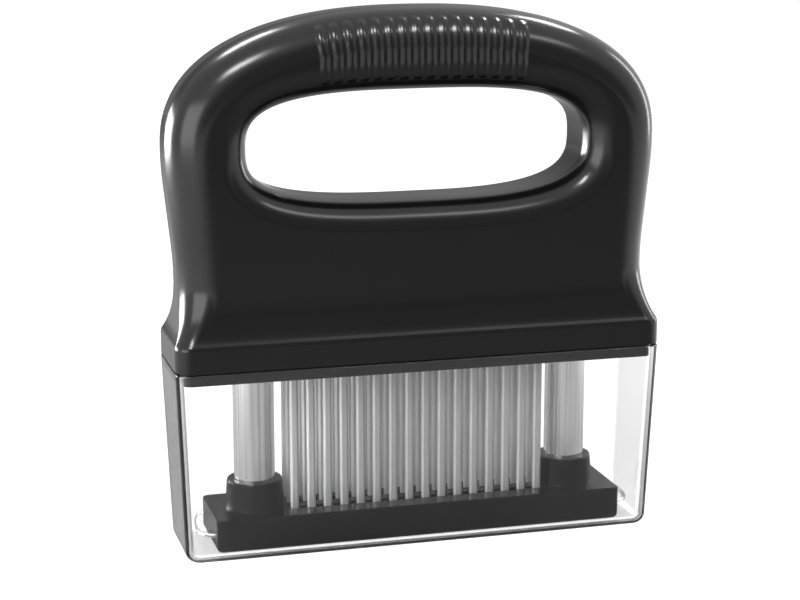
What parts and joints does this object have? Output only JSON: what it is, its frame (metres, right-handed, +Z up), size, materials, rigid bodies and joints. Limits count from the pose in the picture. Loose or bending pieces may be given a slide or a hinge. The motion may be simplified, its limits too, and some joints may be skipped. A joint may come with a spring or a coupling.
{
  "type": "blade meat tenderizer",
  "caption": "Loop-handled blade meat tenderizer with rows of steel knife blades, a sprung sliding guard on two guide posts and a clear slip-on cover.",
  "frame": {"origin": "middle of the cover's flat underside, on the surface that the tool stands on", "axes": "+Z up through the handle, X along the blade rows, -Y the front face"},
  "size_m": [0.1506, 0.035, 0.1625],
  "materials": {
    "handle_black": "satin black moulding",
    "black_plastic": "fine matt",
    "guard_black": "satin",
    "clear_cover": "clear polished",
    "clear_loop": "clear polished",
    "blade_steel": "fine ground",
    "post_chrome": "polished",
    "screw_steel": "bright zinc",
    "spring_steel": "drawn wire",
    "bush_plastic": "natural nylon"
  },
  "bodies": {
    "cover": {"cover": "clear_cover"},
    "handle": {"handle_shell": "handle_black", "blade_block": "black_plastic", "blade_clamp_plate": "black_plastic", "clamp_screws": "screw_steel", "block_screws": "screw_steel", "blades_front": "blade_steel", "blades_middle": "blade_steel", "blades_rear": "blade_steel", "guide_bush_left": "bush_plastic", "guide_bush_right": "bush_plastic", "return_spring_left": "spring_steel", "return_spring_right": "spring_steel"},
    "guard": {"guard_plate": "guard_black", "guard_screws": "screw_steel", "guide_post_left": "post_chrome", "guide_post_right": "post_chrome", "retaining_ring_left": "screw_steel", "retaining_ring_right": "screw_steel", "guard_loop_left": "clear_loop", "guard_loop_right": "clear_loop"}
  },
  "joints": [
    {"name": "tool_lift", "type": "slide", "parent": "cover", "child": "handle", "axis": [0, 0, 1], "range_m": [0, 0.065]},
    {"name": "guard_press", "type": "slide", "parent": "handle", "child": "guard", "axis": [0, 0, 1], "range_m": [0, 0.0329], "stiffness_N_per_m": 400, "springref_m": -0.012, "deforming": ["return_spring_left", "return_spring_right"]}
  ]
}
